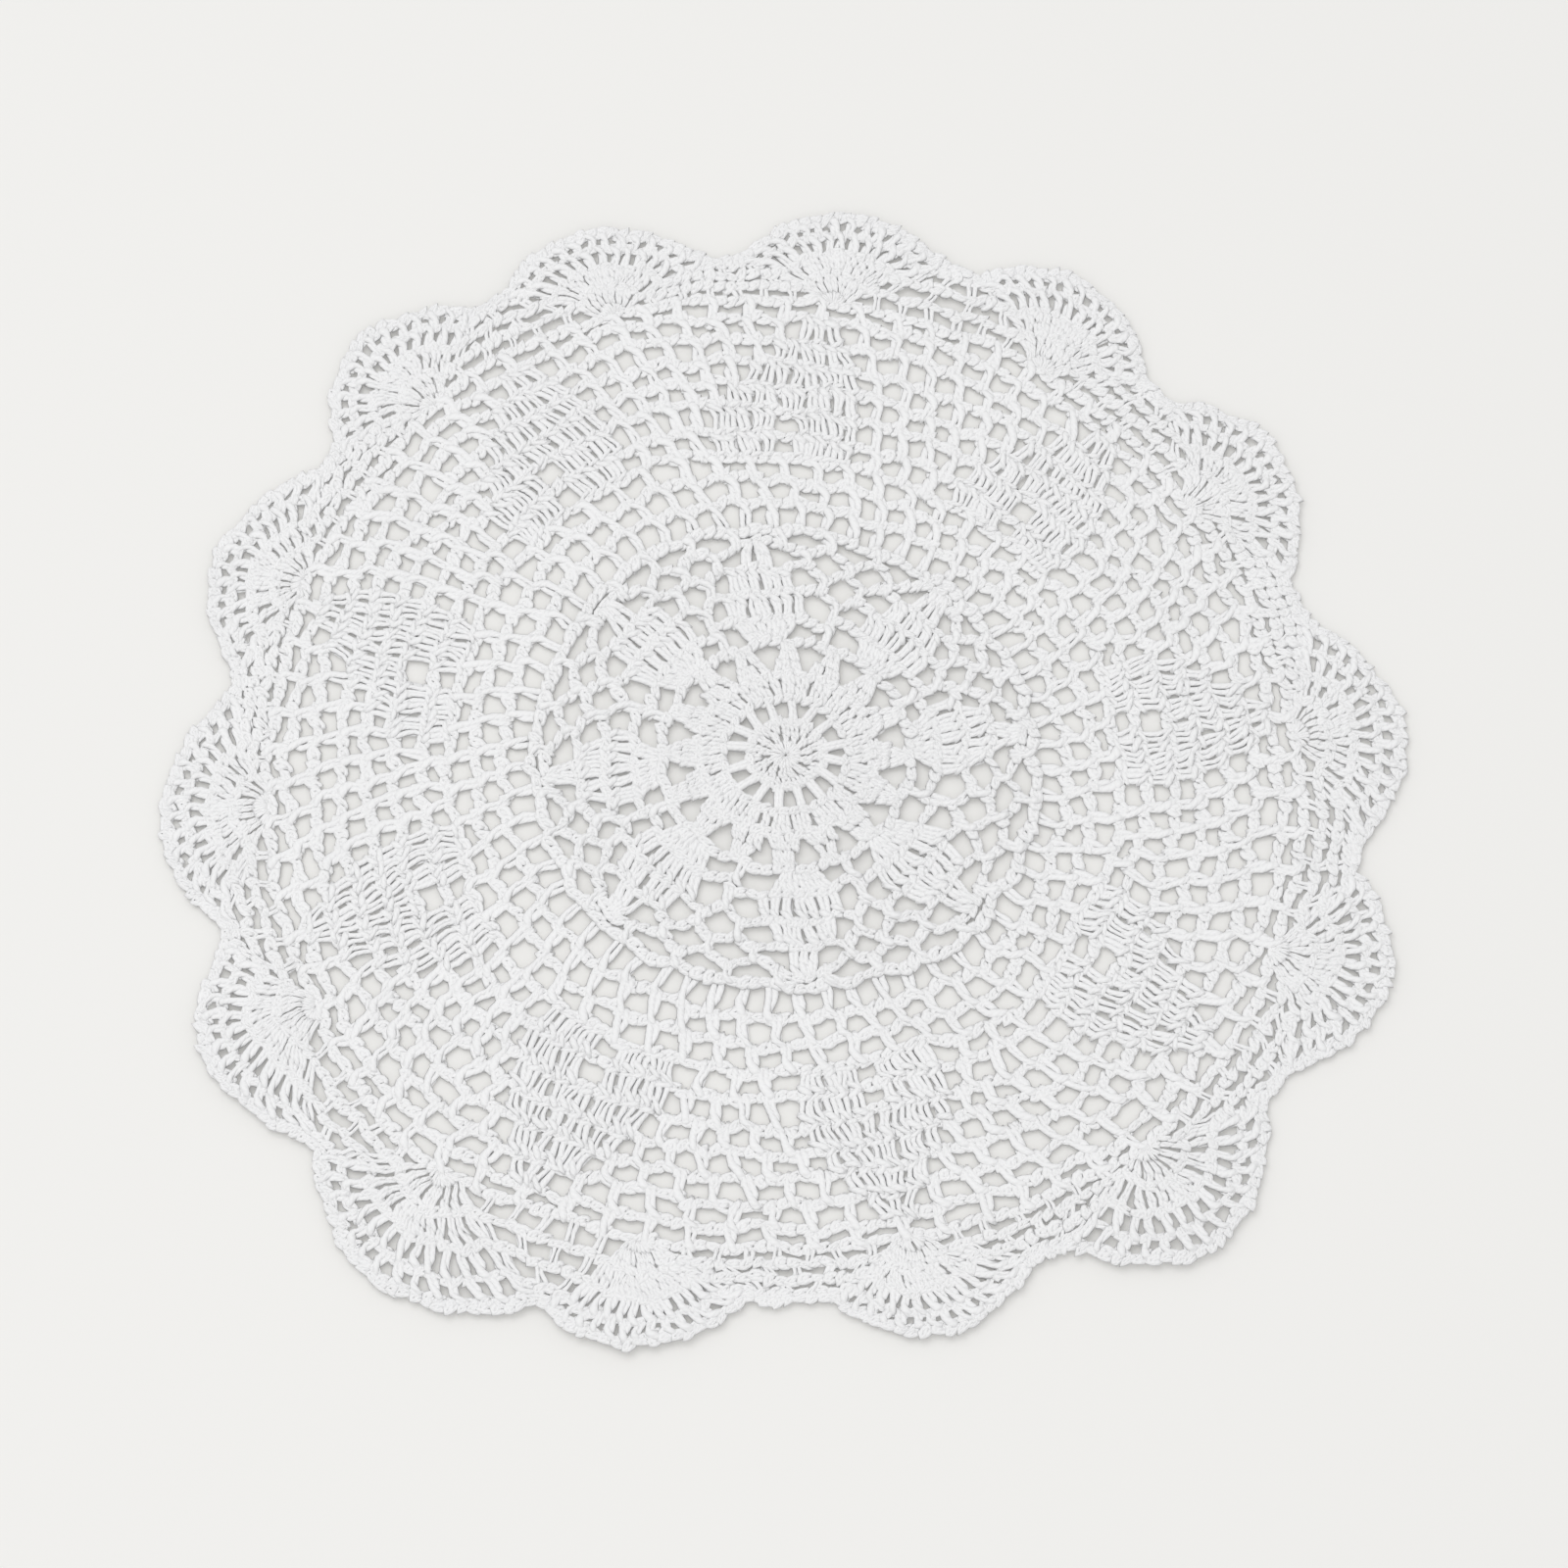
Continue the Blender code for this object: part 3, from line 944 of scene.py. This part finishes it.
def cotton(white):
    """White mercerised cotton: wound plies, painted shade on the undersides and a faint uneven
    whiteness.
    """
    material = bpy.data.materials.new(YARN_NAME)
    material.use_nodes = True
    nodes, links = material.node_tree.nodes, material.node_tree.links
    shader = nodes["Principled BSDF"]
    shader.inputs["Roughness"].default_value = 0.8
    shader.inputs["Specular IOR Level"].default_value = 0.3
    shader.inputs["Sheen Weight"].default_value = 0.2
    object_place = nodes.new("ShaderNodeTexCoord")
    place = nodes.new("ShaderNodeUVMap")
    place.uv_map = "yarn"
    split = nodes.new("ShaderNodeSeparateXYZ")
    links.new(place.outputs["UV"], split.inputs[0])
    along, around = split.outputs["X"], split.outputs["Y"]

    def step(operation, first, second=None, third=None):
        """One sum, each term a number or another node's output."""
        node = nodes.new("ShaderNodeMath")
        node.operation = operation
        for socket, term in zip(node.inputs, (first, second, third)):
            if isinstance(term, bpy.types.NodeSocket):
                links.new(term, socket)
            elif term is not None:
                socket.default_value = term
        return node.outputs[0]

    def noise(scale, detail):
        """Soft chance values from 0 to 1."""
        texture = nodes.new("ShaderNodeTexNoise")
        texture.inputs["Scale"].default_value = scale
        texture.inputs["Detail"].default_value = detail
        links.new(object_place.outputs["Object"], texture.inputs["Vector"])
        return texture.outputs["Fac"]

    def mixed(share, first, second):
        """The colour this share of the way from the first to the second."""
        node = nodes.new("ShaderNodeMix")
        node.data_type = "RGBA"
        links.new(share, node.inputs["Factor"])
        for socket, term in zip((node.inputs[6], node.inputs[7]), (first, second)):
            if isinstance(term, bpy.types.NodeSocket):
                links.new(term, socket)
            else:
                socket.default_value = (*term, 1.0)
        return node.outputs[2]

    # Painted shade: each strand darkens from its top round to its underside, standing in for the
    # shade where strands meet
    facing_down = step("SINE", step("MULTIPLY_ADD", around, 2 * math.pi, TOP_FLAT))
    painted_shade_mask = nodes.new("ShaderNodeMapRange")
    painted_shade_mask.interpolation_type = "SMOOTHSTEP"
    painted_shade_mask.inputs["From Min"].default_value = -DARK_BELOW
    painted_shade_mask.inputs["From Max"].default_value = -WHITE_ABOVE
    links.new(facing_down, painted_shade_mask.inputs["Value"])
    clouds = noise(UNEVEN_SCALE, UNEVEN_DETAIL)
    uneven = mixed(clouds, white, [UNEVEN * part for part in white])
    colour = mixed(painted_shade_mask.outputs[0], [PAINTED_UNDERSIDE_SHADE * part for part in white], uneven)
    links.new(colour, shader.inputs["Base Color"])
    turned = step("MULTIPLY", along, PLIES * math.pi / PLY_TURN)
    ridge = step("ABSOLUTE", step("SINE", step("MULTIPLY_ADD", around, PLIES * math.pi, turned)))
    height = step("MULTIPLY_ADD", noise(FUZZ_SCALE, FUZZ_DETAIL), FUZZ, ridge)
    bump = nodes.new("ShaderNodeBump")
    bump.inputs["Strength"].default_value = BUMP
    bump.inputs["Distance"].default_value = BUMP_DISTANCE
    links.new(height, bump.inputs["Height"])
    links.new(bump.outputs[0], shader.inputs["Normal"])
    return material


# ---------------------------------------------------------------- the stage

FLOOR_SIZE, FLOOR_DROP = 6, 0.0004  # in metres, the second below the cloth
FLOOR_GLOW = 0.28  # light of its own, as a share of its colour
LIGHTS = (
    # name, place and size in metres, and power in watts
    ("key", (-0.50, 0.30, 1.8), 1.4, 10.5),
    ("fill", (-0.1, -0.85, 1.7), 1.6, 6.0),
)
DAYLIGHT = 0.67  # strength of the white light from all round
IMAGE_PX = 1600  # width and height of the image in pixels
CENTRE_PX = (802, 773)  # the cloth's centre in it, across and down
RADIUS_PX, RADIUS = 636.0, 0.150  # one length to the right of the centre, in pixels and metres
DISTANCE = 9.3  # of the camera from the centre, in those radii
SLOPE = math.radians(66.0)  # of the camera's view, down from level
SENSOR = 36.0  # width of the camera's sensor in mm


# ---------------------------------------------------------------- the add-on


def finish(piece, settings):
    """Gives a piece its cotton and ties it to the frame."""
    material = bpy.data.materials.get(YARN_NAME) or cotton(settings.cotton)
    piece.data.materials.append(material)
    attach(piece, "root")
    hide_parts("doily")


class DoilySettings(bpy.types.PropertyGroup):
    """What a user would change."""

    bulk: bpy.props.FloatProperty(
        name="Yarn bulk",
        description="Thickness of every strand, as a share of the usual one",
        default=1.0,
        min=0.6,
        max=1.3,
    )
    cotton: bpy.props.FloatVectorProperty(
        name="Cotton",
        description="Colour of the yarn",
        default=(0.90, 0.90, 0.905),
        subtype="COLOR",
        size=3,
        min=0.0,
        max=1.0,
    )
    floor: bpy.props.FloatVectorProperty(
        name="Floor",
        description="Colour of the floor under the cloth",
        default=(0.66, 0.655, 0.64),
        subtype="COLOR",
        size=3,
        min=0.0,
        max=1.0,
    )


class DOILY_OT_crochet(bpy.types.Operator):
    """Crochets one zone of the cloth from its pattern"""

    bl_idname = "doily.crochet"
    bl_label = "Crochet"

    zone: bpy.props.StringProperty(name="Zone", description="Which zone to make")

    def execute(self, context):
        settings = context.scene.doily
        zone = {one.__name__: one for one in ZONES}[self.zone]
        finish(crochet(zone, settings.bulk), settings)
        return {"FINISHED"}


class DOILY_OT_web(bpy.types.Operator):
    """Lays the cloth's thin sheet inside the yarn"""

    bl_idname = "doily.web"
    bl_label = "Web"

    def execute(self, context):
        piece = web()
        finish(piece, context.scene.doily)
        return {"FINISHED"}


class DOILY_OT_stage(bpy.types.Operator):
    """Adds the floor, the lights and the camera"""

    bl_idname = "doily.stage"
    bl_label = "Stage"

    def execute(self, context):
        self.floor(context)
        for light in LIGHTS:
            self.light(context, *light)
        world = bpy.data.worlds.new("studio")
        context.scene.world = world
        world.use_nodes = True
        background = world.node_tree.nodes["Background"]
        background.inputs["Color"].default_value = (1.0, 1.0, 1.0, 1.0)
        background.inputs["Strength"].default_value = DAYLIGHT
        self.camera(context)
        context.scene.view_settings.view_transform = "Standard"
        return {"FINISHED"}

    def floor(self, context):
        """Lays a pale floor just under the cloth."""
        colour = (*context.scene.doily.floor, 1.0)
        bpy.ops.mesh.primitive_plane_add(size=FLOOR_SIZE, location=(0, 0, -FLOOR_DROP))
        floor = context.object
        floor.name = "floor"
        material = bpy.data.materials.new("pale floor")
        material.use_nodes = True
        shader = material.node_tree.nodes["Principled BSDF"]
        shader.inputs["Base Color"].default_value = colour
        shader.inputs["Roughness"].default_value = 0.9
        shader.inputs["Emission Color"].default_value = colour
        shader.inputs["Emission Strength"].default_value = FLOOR_GLOW
        floor.data.materials.append(material)

    def light(self, context, name, place, size, power):
        """Hangs a square light that points at the centre of the cloth."""
        data = bpy.data.lights.new(name, "AREA")
        data.size = size
        data.energy = power
        lamp = bpy.data.objects.new(name, data)
        context.scene.collection.objects.link(lamp)
        lamp.location = place
        lamp.rotation_euler = (-lamp.location).to_track_quat("-Z", "Y").to_euler()

    def camera(self, context):
        """Looks down at the centre of the cloth, which it shifts to its own pixel."""
        distance = DISTANCE * RADIUS
        data = bpy.data.cameras.new("camera")
        data.sensor_width = SENSOR
        data.lens = RADIUS_PX * DISTANCE / IMAGE_PX * SENSOR
        data.shift_x = (IMAGE_PX / 2 - CENTRE_PX[0]) / IMAGE_PX
        data.shift_y = (CENTRE_PX[1] - IMAGE_PX / 2) / IMAGE_PX
        camera = bpy.data.objects.new("camera", data)
        context.scene.collection.objects.link(camera)
        camera.location = (0.0, -distance * math.cos(SLOPE), distance * math.sin(SLOPE))
        camera.rotation_euler = (math.pi / 2 - SLOPE, 0.0, 0.0)
        context.scene.camera = camera


class DOILY_PT_panel(bpy.types.Panel):
    """The doily's settings, and a button for each step"""

    bl_idname = "DOILY_PT_panel"
    bl_label = "Doily"
    bl_space_type = "VIEW_3D"
    bl_region_type = "UI"
    bl_category = "Doily"

    def draw(self, context):
        column = self.layout.column()
        column.prop(context.scene.doily, "bulk")
        column.prop(context.scene.doily, "cotton")
        column.prop(context.scene.doily, "floor")
        for zone in ZONES:
            column.operator("doily.crochet", text=zone.__name__).zone = zone.__name__
        column.operator("doily.web")
        column.operator("doily.stage")


CLASSES = (DoilySettings, DOILY_OT_crochet, DOILY_OT_web, DOILY_OT_stage, DOILY_PT_panel)


def register():
    for one in CLASSES:
        bpy.utils.register_class(one)
    bpy.types.Scene.doily = bpy.props.PointerProperty(type=DoilySettings)


def unregister():
    del bpy.types.Scene.doily
    for one in reversed(CLASSES):
        bpy.utils.unregister_class(one)


def main():
    register()
    for zone in ZONES:
        bpy.ops.doily.crochet(zone=zone.__name__)
    bpy.ops.doily.web()
    bpy.ops.doily.stage()


if __name__ == "__main__":
    main()
